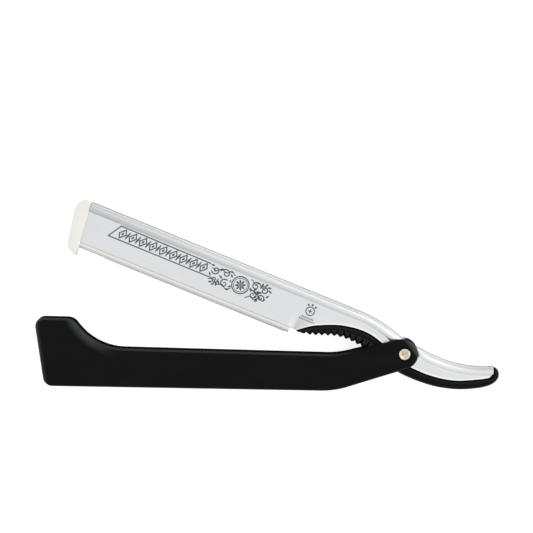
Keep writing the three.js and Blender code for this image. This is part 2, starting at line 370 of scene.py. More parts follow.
def handle_arcs():
    below, above = math.radians(18), math.radians(15.3)
    low_tangent = NOSE + NOSE_RADIUS * Vector((math.sin(below), -math.cos(below)))
    high_tangent = NOSE + NOSE_RADIUS * Vector((-math.sin(above), math.cos(above)))
    foot_low = Vector((-113.8, HANDLE_BOTTOM - 0.15))
    neck_low = Vector((-21.8, HANDLE_BOTTOM + 0.55))
    neck_high = Vector((-21.2, RIM_HEIGHT - 0.1))
    foot_notch = Vector((-97.5, RIM_HEIGHT + 0.1))
    foot_right = Vector((-105.1, FOOT_TOP))
    foot_left = Vector((-117.46, FOOT_TOP))
    return [
        fillet(foot_low, neck_low, low_tangent, 27),
        (NOSE, NOSE_RADIUS, below - math.pi / 2, above + math.pi / 2),
        fillet(high_tangent, neck_high, foot_notch, 27),
        fillet(neck_high, foot_notch, foot_right, 19),
        fillet(foot_notch, foot_right, foot_left, 4),
        fillet(foot_right, foot_left, foot_low, 2.8),
        fillet(foot_left, foot_low, neck_low, 3),
    ]


def slot_outline():
    """The room between the cheeks: open along the top, with an end wall and a web behind."""
    floor = HANDLE_BOTTOM + WEB

    def wall(y):
        return END_FACE_X + (END_FACE_Y - y) * END_LEAN + END_WALL

    above, past, below = 20, 20, HANDLE_BOTTOM - 4
    web_end = -math.sqrt(WEB_CLEARANCE ** 2 - floor ** 2)
    centre, radius, a, b = fillet(
        Vector((wall(above), above)), Vector((wall(floor), floor)), Vector((web_end, floor)), 2)
    angles = [mix(a, b, i / 8) for i in range(9)]
    corner = [centre + Vector((math.cos(t), math.sin(t))) * radius for t in angles]
    points = [(past, above), (wall(above), above)]
    points += [(p.x, p.y) for p in corner]
    points += [(web_end, floor), (web_end + 1, below), (past, below)]
    return points


def make_handle():
    path = ring_of_arcs(handle_arcs())
    inset, drop, steps = 2.0, 1.35, 9
    profile = []
    for i in range(steps + 1):
        a = math.pi / 2 * i / steps
        profile.append((inset * (1 - math.cos(a)), CHEEK - drop + drop * math.sin(a)))
    rows = [(d, -z) for d, z in reversed(profile)] + profile
    rings = [[(p.x - n.x * d, p.y - n.y * d, z) for p, n in path] for d, z in rows]
    obj = lofted("handle_moulding", rings, HANDLE_FRAME)
    carve(obj, prism("slot", slot_outline(), -SLOT_HALF, SLOT_HALF, HANDLE_FRAME))
    carve(obj, cylinder("bore", 0, 0, HOLE, -CLEAR, CLEAR, HANDLE_FRAME))
    carve(obj, cylinder("front_recess", 0, 0, RECESS, CHEEK - RECESS_DEPTH, CLEAR, HANDLE_FRAME, 64))
    carve(obj, cylinder("back_recess", 0, 0, RECESS, -CLEAR, RECESS_DEPTH - CHEEK, HANDLE_FRAME, 64))
    ease_edges(obj.data, 0.16)
    tidy_mesh(obj.data, 32)
    return obj


# ---- pivot hardware

def make_rivet():
    profile = [(0, 3.86), (0.3, 3.86), (0.6, 3.88), (0.85, 3.92), (1.05, 3.985), (1.2, 4.05)]
    for i in range(9):
        a = math.pi * i / 8
        profile.append((1.5 - 0.26 * math.cos(a), 4.06 + 0.085 * math.sin(a) - 0.012 * i))
    profile += [(1.82, 3.87), (1.84, 3.76), (1.84, 3.5), (1.25, 3.5), (1.25, -3.6), (1.32, -3.78),
                (1.5, -3.8), (1.68, -3.8), (1.75, -3.84), (1.75, -3.9), (1.68, -3.94), (1.5, -3.96),
                (1.25, -3.95), (1.05, -3.88), (0.9, -3.72), (0.8, -3.45), (0.75, -3.1),
                (0.7, -2.4), (0.6, -2.3), (0, -2.2)]
    return turned("rivet", profile, 96, HANDLE_FRAME)


def make_burr():
    profile = [(1.35, -3.46), (1.38, -3.45), (2.04, -3.45), (2.1, -3.49), (2.1, -3.68),
               (2.05, -3.74), (1.98, -3.75), (1.42, -3.75), (1.35, -3.71)]
    return turned("rivet_burr_ring", profile, 72, HANDLE_FRAME, closed=True)


def make_washer(name, low):
    high = low + 0.5
    profile = [(1.6, low + 0.06), (1.66, low), (2.84, low), (2.9, low + 0.06), (2.9, high - 0.06),
               (2.84, high), (1.66, high), (1.6, high - 0.06)]
    return turned(name, profile, 64, HANDLE_FRAME, closed=True)


# ---- blade holder

def spine_track():
    """The holder's back: straight over the blade, falling over the shank, rising along the tail."""
    shank_bend, tail_bend = 42.1, 38.5
    joint = (-3.2, 4.72)
    step = (SPINE_FALL - SPINE_START) / STRAIGHT_STEPS
    pts = [Vector((SPINE_START + i * step, SPINE_HEIGHT)) for i in range(STRAIGHT_STEPS + 1)]
    pts += arc((SPINE_FALL, SPINE_HEIGHT - shank_bend), shank_bend, 90, 75.3, 24)
    pts += straight(pts[-1], joint, 6)
    pts += bezier(joint, (-0.3, 3.96), (2.5, 3.79), (5.4, 3.39), 20)
    pts += arc((10.6, 41.54), tail_bend, 262.2, 296.3, 60)
    return Track(pts)


SPINE = spine_track()

EDGE_POINTS = [
    (HEEL_X, EDGE_HEIGHT), (-31.05, -3.35), (-28.25, -1.81), (-25.37, -0.49), (-22.39, 0.61),
    (-19.26, 1.31), (-16, 1.71), (-12.54, 1.61), (-8.74, 0.67), (-4.5, -1.3), (0, -2.95),
    (5.58, -3.42), (10.02, -3.41), (14.9, -2.75), (19.47, -1.41), (25.18, 1.39), (26.9, 2.36),
]
SHEET_EDGE = spline(EDGE_POINTS) + bezier((26.9, 2.36), (28.0, 2.98), (28.5, 3.3), (28.62, 4.4), 14)


def edge_depth(point, normal):
    """How far below the spine, along its normal, the sheet's free edge lies."""
    if point.x < HEEL_X and normal.y > 0.999:
        return SPINE_HEIGHT - EDGE_HEIGHT
    side = Vector((normal.y, -normal.x))
    last = None
    for a, b in zip(SHEET_EDGE, SHEET_EDGE[1:]):
        u, v = (a - point).dot(side), (b - point).dot(side)
        if (u <= 0 <= v) or (v <= 0 <= u):
            t = u / (u - v) if u != v else 0
            last = -(a.lerp(b, t) - point).dot(normal)
    return last


def outer_half(depth):
    """Half width of the folded sheet's outside at a depth below the spine: roll, blend, flat leaf."""
    blend = 1.2
    reach = math.sqrt((ROLL + blend) ** 2 - (LEAF_HALF + blend) ** 2)
    join = ROLL + ROLL * reach / (ROLL + blend)
    depth = depth / ROLL_SQUASH
    if depth <= join:
        return math.sqrt(max(0.0, ROLL ** 2 - (depth - ROLL) ** 2))
    if depth < ROLL + reach:
        return LEAF_HALF + blend - math.sqrt(blend ** 2 - (ROLL + reach - depth) ** 2)
    return LEAF_HALF


def pinch(x, y, depth):
    """How far each wall moves in: leaves close towards the edge, the roll flattens at the pivot."""
    along_blade = 1 - smooth(x, -36.9, -34.3)
    start = 3.5
    leaf = EDGE_PINCH * max(0.0, depth - start) / (SPINE_HEIGHT - EDGE_HEIGHT - start) * along_blade
    bulge = max(0.0, outer_half(depth) - LEAF_HALF) if depth < 3.6 else 0.0
    return leaf + bulge * (1 - smooth(math.hypot(x, y), 3.0, 6.6))


def leaf_surface(x, y):
    """Height of the front leaf's outer face above the razor's middle plane."""
    depth = SPINE_HEIGHT - y
    return outer_half(depth) - pinch(x, y, depth)


def section_depths(bottom):
    """Depths from the free edge up to the top of the roll, dense where the section curves."""
    flat_start = min(BLEND_END * ROLL_SQUASH, bottom - 0.7)
    round_start = min(BLEND_START * ROLL_SQUASH, flat_start - 0.2)
    out = [bottom, bottom - 0.22]
    out += [mix(bottom - 0.45, flat_start, i / 5) for i in range(6)]
    out += [mix(flat_start, round_start, i / 6) for i in range(1, 7)]
    half = ROLL * ROLL_SQUASH
    steps = 16
    top = math.acos(clamp((half - round_start) / half, -1, 1))
    out += [half - half * math.cos(mix(top, 0, i / steps)) for i in range(1, steps + 1)]
    return out


def sheet_ring(at, bottom, slim, push):
    """One closed ring of the folded sheet's section: over the roll, round the lips and back inside."""
    point, tangent = SPINE.point(at), SPINE.tangent(at)
    normal = Vector((-tangent.y, tangent.x))
    thick = SHEET / 2
    reach = thick - slim
    lip = 0.2
    step = 0.01
    high = ROLL * ROLL_SQUASH
    depths = section_depths(bottom - lip)
    outer, inner, lips, ring = [], [], [], []
    for depth in depths:
        half = outer_half(depth)
        slope = (outer_half(max(depth - step, 0)) - outer_half(depth + step)) / (2 * step)
        if depth < 0.02:
            n = Vector((0.0, 1.0))
        elif depth < BLEND_START * ROLL_SQUASH:
            n = Vector((half / ROLL ** 2, (high - depth) / high ** 2)).normalized()
        else:
            n = Vector((1.0, slope)).normalized()
        for rows, offset in ((outer, reach), (inner, -reach)):
            rows.append((depth + thick * n.y - offset * n.y, half - thick * n.x + offset * n.x))
    for i in range(1, LIPS + 1):
        a = math.pi * i / (LIPS + 1)
        d = depths[0] + lip * (1 - slim / thick) * math.sin(a) ** 0.6
        lips.append((d, LEAF_HALF - thick - reach * math.cos(a)))

    # Towards its lower edge the sheet sets inward at both ends, by so much over a depth.
    toe_lean, toe_depth = 1.05, 12.2
    tail_lean, tail_depth = 0.34, 2.9

    def put(d, h, side):
        base = point - normal * d
        shear = tail_lean * d / tail_depth * smooth(at, SPINE.length - 4, SPINE.length)
        lean = toe_lean * max(0.0, d - 1.0) / toe_depth * (1 - smooth(at, 0, 9))
        base = base + tangent * (lean - shear + push)
        z = h - pinch(base.x, base.y, d)
        ring.append((base.x, base.y, z * side))

    for rows, side in ((outer, 1), (outer[-2::-1], -1), (lips[::-1], -1),
                       (inner, -1), (inner[-2::-1], 1), (lips, 1)):
        for d, h in rows:
            put(d, h, side)
    return ring


def make_holder():
    length = SPINE.length
    heel_at = HEEL_X - SPINE_START
    stations = []
    x = 0.0
    for limit, step in ((0.5, 0.25), (heel_at - 6, 1.2), (length - 3, 0.3), (length, 0.12)):
        while x < limit:
            stations.append(x)
            x += step
    if length - stations[-1] < 0.05:
        stations.pop()
    stations.append(length)
    # Each ring: distance along the spine, how much thinner the sheet is, how far it is pushed along.
    rings = [(0.0, 0.09, 0.0), (0.0, 0.04, 0.03), (0.0, 0.0, 0.1)]
    rings += [(at, 0.0, 0.0) for at in stations[2:-1]]
    rings += [(length, 0.0, -0.16), (length, 0.05, -0.08), (length, 0.1, -0.03), (length, 0.16, 0.0)]
    built = []
    for at, slim, push in rings:
        tangent = SPINE.tangent(at)
        bottom = edge_depth(SPINE.point(at), Vector((-tangent.y, tangent.x)))
        if bottom is None:
            bottom = 3.3
        corner = clamp(1 - (length - at) / 1.0)
        bottom -= 1.0 - math.sqrt(1 - 0.96 * corner ** 2)
        built.append(sheet_ring(at, bottom, slim, push))
    count = len(built[0])
    faces = bridge(built, closed_ends=False)
    section = 2 * len(section_depths(10)) - 1
    for end in (0, len(built) - 1):
        base = end * count
        for i in range(section - 1):
            a, b = base + i, base + i + 1
            c = base + section + LIPS + (section - 1 - i)
            faces.append((a, b, c - 1, c))
        faces.append(tuple(base + section - 1 + k for k in range(LIPS + 2)))
        faces.append(tuple(base + (2 * section + LIPS - 1 + k) % count for k in range(LIPS + 2)))
    verts = [v for ring in built for v in ring]
    obj = link("folded_holder", raw_mesh("folded_holder", verts, faces, ARM_FRAME))
    tidy_mesh(obj.data, 50)
    carve(obj, cylinder("arm_hole", 0, 0, HOLE, -CLEAR, CLEAR, ARM_FRAME))
    tidy_mesh(obj.data, 50)
    return obj


# ---- grip core

GRIP_POINTS = [
    (-34.3, -6.35), (-30.5, -5.95), (-26.5, -4.6), (-22.7, -3.25), (-19, -2.7), (-14.5, -3),
    (-9, -4.1), (-4, -5.3), (0.5, -6.25), (4.8, -6.54), (9.5, -6.42), (14.4, -5.78),
    (20.5, -4.02), (26.2, -1.2), (28.9, 0.82),
]
TOOTH_START = 2.45
TOOTH_PITCH = 1.93
TEETH = 13


def core_tracks():
    outer = spline(GRIP_POINTS, 24)
    outer += bezier((28.9, 0.82), (30, 1.85), (30.8, 3.7), (30.35, 4.75), 30)
    outer += bezier((30.35, 4.75), (29.95, 5.95), (29.24, 6.6), (28.2, 6.65), 16)
    inner = list(SHEET_EDGE)
    inner += straight((28.62, 4.4), (27.62, 6.8), 10)
    return Track(outer), Track(inner)


def tooth(at):
    """Place along the serrations: 0 in a groove to 1 on a crest, and how far along the row it is."""
    u = (at - TOOTH_START) / TOOTH_PITCH
    if u < 0 or u > TEETH:
        return 1.0, 0.0
    return abs(u - math.floor(u) - 0.5) * 2, u / TEETH


def core_section(band, from_groove, row):
    """Half section of the core from the grip line inward, as (distance, half thickness, tone).

    Its painted shading is dark inside the serrations and in the groove beside the steel's edge, where
    shade falls, with painted highlights on the ridges and beside that groove.
    """
    half = 1.66
    turn = min(band * 0.62, 1.25)
    reach = max(band - 0.44, turn + 0.02)
    climb = mix(1.3, 2.9, row)
    scoop = 0.72 * (1 - from_groove) ** 1.35
    out = []
    rows = [turn * (1 - math.cos(math.pi / 2 * k / 9)) for k in range(10)]
    rows += [mix(turn, reach, k / 11) for k in range(1, 12)]
    for index, r in enumerate(rows):
        z = half * math.sqrt(max(0.0, 1 - (1 - min(r / turn, 1)) ** 2)) if index else 0.0
        opening = 1 - r / climb
        cut = 0.0
        if opening > 0.03 and from_groove < opening:
            cut = 1.15 * (1 - from_groove / opening) * min(1.0, opening * 1.6)
        slide = scoop * (1 - smooth(r, 0.2, 1.3))
        painted_shading = 0.14
        if row > 0:
            # Painted shade inside the serrations and along the grip's outer edge.
            painted_shading *= (1 - smooth(cut, 0.03, 0.25)) * mix(0.1, 1.0, smooth(r, 0.25, 0.8))
            # Painted highlight along each lit ridge, stronger further along the row.
            lit = smooth(from_groove, 0.25, 0.6) * (1 - smooth(from_groove, 0.75, 1.0))
            below = 1 - smooth(r, climb, climb + 0.4)
            painted_shading += (0.08 + 0.85 * row) * lit * smooth(r, 0.8, 1.2) * below
        # Painted highlight on the face just before the groove beside the steel.
        painted_shading += 0.3 * hump(r, reach - 0.35, 0.3)
        out.append((min(r + slide, reach), max(z - cut * clamp(r / 0.5), 0.0), painted_shading))
    # Painted shade in the groove beside the steel's edge.
    out.append((max(band - 0.4, reach + 0.01), half - 0.15, 0.2))
    out.append((max(band - 0.37, reach + 0.02), half - 0.55, 0.0))
    out.append((band + 0.1, 1.02, 0.0))
    out.append((band + 1.4, 0.98, 0.0))
    return out


def make_core():
    outer, inner = core_tracks()
    swell, swell_depth = 0.11, 1.2
    count = int(outer.length / 0.09)
    rings, painted_shadings = [], []
    low = 0.0
    for i in range(count + 1):
        at = outer.length * i / count
        edge_point = outer.point(at)
        low = inner.nearest(edge_point, low)
        base = inner.point(low)
        band = max((edge_point - base).length, 0.5)
        inward = (base - edge_point).normalized()
        section = core_section(band, *tooth(at))
        section += [(r, -z, painted_shading) for r, z, painted_shading in reversed(section[1:])]
        ring = []
        for r, z, painted_shading in section:
            p = edge_point + inward * (r - swell * clamp(1 - r / swell_depth))
            ring.append((p.x, p.y, z))
            painted_shadings.append(((p.x, p.y, z), painted_shading))
        rings.append(ring)
    obj = lofted("grip_core_moulding", rings, ARM_FRAME, 44)
    nearby = KDTree(len(painted_shadings))
    for index, (place, painted_shading) in enumerate(painted_shadings):
        nearby.insert(place, index)
    nearby.balance()
    keep_painted_shading(obj.data, ARM_FRAME, lambda place: (painted_shadings[nearby.find(place)[1]][1],) * 3)
    return obj


# ---- cartridge and blade

def tab_outline():
    top, nose, chin = (-109.85, 7.5), (-113.8, 3.4), (-112.2, -6.5)
    low, tip = (-108.5, -10.35), (-107.7, -9.5)
    pts = [Vector(top)]
    pts += quadratic(top, (-113.45, 7.75), nose, 18)
    pts += straight(nose, chin, 8)
    pts += bezier(chin, (-111.8, -8.9), (-110.2, -10.0), low, 16)
    pts += quadratic(low, (-107.5, -10.5), tip, 8)
    pts += [Vector(p) for p in ((-108.1, -7.75), (-108.05, -6.2), (-108.28, -6.0))]
    pts += straight(pts[-1], (-109.33, 5.9), 8)
    pts.append(Vector((-109.62, 6.9)))
    return pts


def rail_section():
    side = [(0.6, 3.0), (0.95, 2.6), (0.56, -5.8), (0.57, -5.99), (0.94, -6.01), (1.07, -6.06),
            (1.12, -6.2), (1.1, -6.42), (1.04, -6.7), (0.95, -6.98), (0.84, -7.24), (0.69, -7.48),
            (0.5, -7.68), (0.34, LIP_BOTTOM), (0.22, LIP_BOTTOM), (0.2, LIP_BOTTOM + 0.04), (0.2, -0.4)]
    return side + [(-z, y) for z, y in reversed(side)]


def x_prism(name, section, start, end, matrix):
    """Bar along X from a section of (z, y) points."""
    return lofted(name, [[(x, y, z) for z, y in section] for x in (start, end)], matrix)


def make_insert():
    body = prism("toe_tab", tab_outline(), -TAB_HALF, TAB_HALF, ARM_FRAME)
    ease_edges(body.data, 0.75, steeper=60, segments=5,
               keep=lambda e: abs(e.verts[0].co.z - e.verts[1].co.z) < 1e-6)
    tidy_mesh(body.data, 40)
    # The rail's root has the same section without the slot for the blade.
    filled = rail_section()[:14]
    filled += [(-z, y) for z, y in reversed(filled)]
    carve(body, x_prism("root", filled, -111, -100.2, ARM_FRAME), "UNION")
    carve(body, x_prism("rail", rail_section(), -100.6, -36.7, ARM_FRAME), "UNION")
    tidy_mesh(body.data, 34)
    body.name = "cartridge"
    return body


def make_blade():
    half = 0.125
    rings = []
    start, end = BLADE_HEEL - BLADE_LENGTH, BLADE_HEEL
    corner = 0.9
    stations = [start + corner * (1 - math.cos(math.pi / 2 * i / 8)) for i in range(9)]
    stations += [mix(start + corner, end - corner, i / 40) for i in range(1, 40)]
    stations += [end - corner + corner * math.sin(math.pi / 2 * i / 8) for i in range(9)]
    for x in stations:
        inside = min(x - start, end - x)
        lift = corner - math.sqrt(max(0.0, corner ** 2 - max(0.0, corner - inside) ** 2))
        edge = BLADE_EDGE + lift
        bevel = min(edge + 0.62, -7.0)
        side = [(half, -0.8), (half, -4.0), (half, bevel), (0.055, edge + 0.1), (0.012, edge)]
        ring = [(x, y, z) for z, y in side] + [(x, y, -z) for z, y in reversed(side)]
        rings.append(ring)
    obj = lofted("razor_blade", rings, ARM_FRAME, 8)
    middle = BLADE_HEEL - BLADE_LENGTH / 2
    for x in (middle - 20, middle + 20):
        carve(obj, cylinder("hole", x, -2.9, 1.1, -1, 1, ARM_FRAME, 32))
    tidy_mesh(obj.data, 8)
    return obj


# ---- engraving

class Engraving:
    """Thin strokes and patches that stand a hair proud of the front leaf's face."""

    def __init__(self):
        self.verts = []
        self.faces = []

    def stroke(self, points, width, closed=False):
        corners = [Vector(p) for p in points]
        pts = []
        for i, p in enumerate(corners):
            pts.append(p)
            if i + 1 < len(corners) or closed:
                ahead = corners[(i + 1) % len(corners)]
                parts = int((ahead - p).length / 0.6)
                pts += [p.lerp(ahead, k / (parts + 1)) for k in range(1, parts + 1)]
        count = len(pts)
        base = len(self.verts)
        for i, p in enumerate(pts):
            behind = pts[i - 1] if closed or i > 0 else p * 2 - pts[i + 1]
            ahead = pts[(i + 1) % count] if closed or i < count - 1 else p * 2 - pts[i - 1]
            first, second = (p - behind).normalized(), (ahead - p).normalized()
            side = Vector((-first.y - second.y, first.x + second.x)).normalized()
            mitre = 1 / max(0.3, side.dot(Vector((-first.y, first.x))))
            w = width(i / max(count - 1, 1)) if callable(width) else width
            for k in (-1, 1):
                self.point(p + side * (k * w / 2 * mitre))
        spans = count if closed else count - 1
        for i in range(spans):
            j = (i + 1) % count
            self.box(base + i * 4, base + j * 4)
        if not closed:
            self.cap(base)
            self.cap(base + (count - 1) * 4)

    def point(self, q):
        proud, thick = 0.012, 0.05
        top = leaf_surface(q.x, q.y) + proud
        self.verts += [(q.x, q.y, top), (q.x, q.y, top - thick)]

    def box(self, a, b):
        self.faces += [(a, a + 2, b + 2, b), (a + 1, b + 1, b + 3, a + 3),
                       (a, b, b + 1, a + 1), (a + 2, a + 3, b + 3, b + 2)]

    def cap(self, a):
        self.faces.append((a, a + 1, a + 3, a + 2))

    def patch(self, outline):
        base = len(self.verts)
        pts = [Vector(p) for p in outline]
        for p in pts:
            self.point(p)
        count = len(pts)
        self.faces.append(tuple(base + 2 * i for i in range(count)))
        self.faces.append(tuple(base + 2 * i + 1 for i in reversed(range(count))))
        for i in range(count):
            j = (i + 1) % count
            self.faces.append((base + 2 * i, base + 2 * i + 1, base + 2 * j + 1, base + 2 * j))


def lozenge(x, y, tall, wide, slant=0.4):
    return [(x + slant * tall, y + tall), (x + wide, y), (x - slant * tall, y - tall), (x - wide, y)]


def spiral(centre, outer, inner, start, turns, count=48):
    out = []
    for i in range(count):
        t = i / (count - 1)
        out.append(around(centre, mix(outer, inner, t ** 0.8), start + turns * 2 * math.pi * t))
    return out


def leaf_shape(centre, length, width, angle, count=12):
    c, s = math.cos(angle), math.sin(angle)
    steps = [(i / count, 1) for i in range(count + 1)]
    steps += [(1 - i / count, -1) for i in range(1, count)]
    out = [(length * (t - 0.5), side * width / 2 * math.sin(math.pi * t)) for t, side in steps]
    return [(centre[0] + x * c - y * s, centre[1] + x * s + y * c) for x, y in out]


def engrave_frieze(art, line):
    """A frame, open at its right end, round a row of slanted lozenges and bars."""
    art.stroke([(-67.3, 3.4), (-98.0, 3.7), (-100.8, -0.65), (-65.4, -0.75)], line)
    count = 9
    pitch = 27.6 / (count - 1)
    slant, bar = 0.4, 1.3
    for i in range(count):
        x, y = -96.7 + pitch * i, 1.55 - 0.2 * i / (count - 1)
        art.stroke(lozenge(x, y, 1.56, 1.12), 0.4, closed=True)
        art.patch(lozenge(x, y, 0.62, 0.42))
        if i < count - 1:
            cx = x + pitch / 2
            art.stroke([(cx - slant * bar, y - bar), (cx + slant * bar, y + bar)],
                       lambda t: 0.72 - 0.9 * abs(t - 0.5))


def engrave_medallion(art, hub, line):
    """Two rings round an eight-petalled rosette."""
    art.stroke(circle(hub, 2.73, 56), line, closed=True)
    art.stroke(circle(hub, 2.2, 48), 0.2, closed=True)
    for i in range(8):
        a = math.pi / 8 + i * math.pi / 4
        art.patch(leaf_shape(around(hub, 1.08, a), 1.6, 0.66, a))
    art.patch(circle(hub, 0.34, 16))


def engrave_scrolls(art, hub):
    """Scrolls on both sides of the medallion, each with a fan of leaves, tied by waved stems."""
    scrolls = [(-8.9, 1.5, 1.45, 205, 1.35), (-8.3, -1.35, 1.2, 30, -1.3), (-5.5, 1.7, 1.5, 160, -1.35),
               (-5.0, -1.5, 1.55, 60, 1.35), (4.75, 1.5, 1.6, 20, 1.4), (4.7, -1.5, 1.55, 130, -1.4),
               (7.7, 1.15, 1.5, 170, -1.4), (7.4, -1.5, 1.3, -30, 1.35)]
    for dx, dy, radius, turn, turns in scrolls:
        centre = (hub[0] + dx, hub[1] + dy)
        art.stroke(spiral(centre, radius, 0.22, math.radians(turn), turns), lambda t: mix(0.42, 0.3, t))
        for k in range(4):
            a = math.radians(turn + 38 * k + (180 if turns > 0 else 200))
            spot = around(centre, radius + 0.42, a)
            if abs(spot[1] - hub[1]) < 3.1 and math.hypot(spot[0] - hub[0], spot[1] - hub[1]) > 3.4:
                art.patch(leaf_shape(spot, 1.35, 0.62, a + 0.7 * (1 if turns > 0 else -1)))
    for side, stem_end in ((-1, 10.3), (1, 9.0)):
        for rise in (-1, 1):
            stem = []
            for i in range(41):
                t = i / 40
                stem.append((hub[0] + side * mix(2.6, stem_end, t),
                             hub[1] + rise * (2.55 + 0.42 * math.sin(15 * t + side) - 1.1 * t * t)))
            art.stroke(stem, 0.3)
    for side, last in ((-1, 10.3), (1, 9.3)):
        art.patch(leaf_shape((hub[0] + side * 6.7, hub[1] + 0.05), 1.7, 0.6, 0.5 * side))
        art.patch(leaf_shape((hub[0] + side * 3.35, hub[1] + 0.0), 0.9, 0.5, math.pi / 2))
        art.patch(leaf_shape((hub[0] + side * last, hub[1] - 0.3), 1.4, 0.6, 0.9 * side))


def engrave_emblem(art, spot):
    """A ring round a four-pointed star, with dots above it and two rows of short bars below."""
    art.stroke(circle(spot, 1.35, 36), 0.34, closed=True)
    art.patch([around(spot, 0.95 if i % 2 == 0 else 0.3, i * math.pi / 4) for i in range(8)])
    for i in range(3):
        art.patch(circle(around(spot, 2.1, math.radians(55 + 35 * i)), 0.36, 12))
    for dy, bars in ((-2.3, 8), (-3.1, 10)):
        for i in range(bars):
            x, y = spot[0] + 0.52 * (i - (bars - 1) / 2), spot[1] + dy
            art.stroke([(x - 0.1, y - 0.26), (x + 0.1, y + 0.26)], 0.26)


def make_engraving():
    art = Engraving()
    line = 0.38
    hub = (-56.25, 0.54)
    engrave_frieze(art, line)
    engrave_medallion(art, hub, line)
    engrave_scrolls(art, hub)
    engrave_emblem(art, (-32.7, 1.2))
    obj = link("leaf_engraving", raw_mesh("leaf_engraving", art.verts, art.faces, ARM_FRAME))
    tidy_mesh(obj.data, 30)
    return obj


# ---- materials

def fill(tree, node, values):
    """Links each output to the input that it is listed under, and sets each plain value there."""
    for index, value in values.items():
        if isinstance(value, bpy.types.NodeSocket):
            tree.links.new(value, node.inputs[index])
        else:
            node.inputs[index].default_value = value


def node_material(name, constants):
    """A material with one principled shader, some of whose values are the same all over."""
    material = bpy.data.materials.new(name)
    material.use_nodes = True
    nodes = material.node_tree.nodes
    nodes.clear()
    output = nodes.new("ShaderNodeOutputMaterial")
    shader = nodes.new("ShaderNodeBsdfPrincipled")
    material.node_tree.links.new(shader.outputs["BSDF"], output.inputs["Surface"])
    fill(material.node_tree, shader, constants)
    return material, material.node_tree, shader


def mapped(tree, slope, scale):
    """The object's own coordinates in millimetres, turned in line with the piece, scaled per axis."""
    source = tree.nodes.new("ShaderNodeTexCoord")
    turn = tree.nodes.new("ShaderNodeMapping")
    turn.vector_type = "POINT"
    turn.inputs["Rotation"].default_value = (0, 0, slope)
    tree.links.new(source.outputs["Object"], turn.inputs["Vector"])
    size = tree.nodes.new("ShaderNodeMapping")
    size.inputs["Scale"].default_value = tuple(1000 * s for s in scale)
    tree.links.new(turn.outputs["Vector"], size.inputs["Vector"])
    return size.outputs["Vector"]


def noise_node(tree, vector, scale, detail=4.0, roughness=0.55):
    node = tree.nodes.new("ShaderNodeTexNoise")
    node.inputs["Scale"].default_value = scale
    node.inputs["Detail"].default_value = detail
    node.inputs["Roughness"].default_value = roughness
    tree.links.new(vector, node.inputs["Vector"])
    return node.outputs["Fac"]


def ranged(tree, value, low, high, start=0.3, end=0.7):
    node = tree.nodes.new("ShaderNodeMapRange")
    node.inputs["From Min"].default_value = start
    node.inputs["From Max"].default_value = end
    node.inputs["To Min"].default_value = low
    node.inputs["To Max"].default_value = high
    tree.links.new(value, node.inputs["Value"])
    return node.outputs["Result"]


def mixed(tree, factor, a, b, blend="MIX"):
    node = tree.nodes.new("ShaderNodeMix")
    node.data_type = "RGBA"
    node.blend_type = blend
    fill(tree, node, {0: factor, 6: a, 7: b})
    return node.outputs[2]


def blended(tree, factor, a, b):
    return mixed(tree, factor, (*a, 1), (*b, 1))


def worked_out(tree, operation, *values):
    node = tree.nodes.new("ShaderNodeMath")
    node.operation = operation
    fill(tree, node, dict(enumerate(values)))
    return node.outputs[0]


def summed(tree, a, b, share):
    return worked_out(tree, "MULTIPLY_ADD", b, share, a)


def measured(tree, operation, place, other):
    node = tree.nodes.new("ShaderNodeVectorMath")
    node.operation = operation
    fill(tree, node, {0: place, 1: other})
    return node.outputs["Value"]


def bumped(tree, shader, height, strength, distance):
    node = tree.nodes.new("ShaderNodeBump")
    node.inputs["Strength"].default_value = strength
    node.inputs["Distance"].default_value = distance
    tree.links.new(height, node.inputs["Height"])
    tree.links.new(node.outputs["Normal"], shader.inputs["Normal"])


def kept_painted_shading(tree, output):
    source = tree.nodes.new("ShaderNodeAttribute")
    source.attribute_name = "painted_shading"
    return source.outputs[output]


def painted_shaded(tree, colour):
    """A colour multiplied by the painted light and shade kept at each vertex of the mesh."""
    return mixed(tree, 1.0, colour, kept_painted_shading(tree, "Color"), "MULTIPLY")


def keep_painted_shading(mesh, matrix, painted_shading):
    """Stores the painted light and shade of each vertex, from its place in the drawing plane in
    millimetres.
    """
    back = matrix.inverted()
    layer = mesh.attributes.new("painted_shading", "FLOAT_COLOR", "POINT")
    values = []
    for vertex in mesh.vertices:
        values.extend((*painted_shading(back @ vertex.co), 1.0))
    layer.data.foreach_set("color", values)


def steel_material(name, dark, light, rough_low, rough_high, slope, along=0.06, painted_light=False):
    material, tree, shader = node_material(name, {"Metallic": 1.0})
    grain = noise_node(tree, mapped(tree, slope, (along, 9.0, 9.0)), 1.0, 5.0, 0.6)
    cloud = noise_node(tree, mapped(tree, slope, (0.16, 0.3, 0.3)), 1.0, 3.0)
    both = summed(tree, grain, cloud, 0.35)
    colour = blended(tree, ranged(tree, both, 0, 1, 0.45, 0.9), dark, light)
    # Painted light and shade kept on the mesh multiply the steel's colour and also tint its grazing
    # reflections.
    if painted_light:
        colour = painted_shaded(tree, colour)
        tree.links.new(colour, shader.inputs["Specular Tint"])
    rough = ranged(tree, grain, rough_low, rough_high)
    fill(tree, shader, {"Base Color": colour, "Roughness": rough})
    bumped(tree, shader, grain, 0.04, 0.00001)
    return material


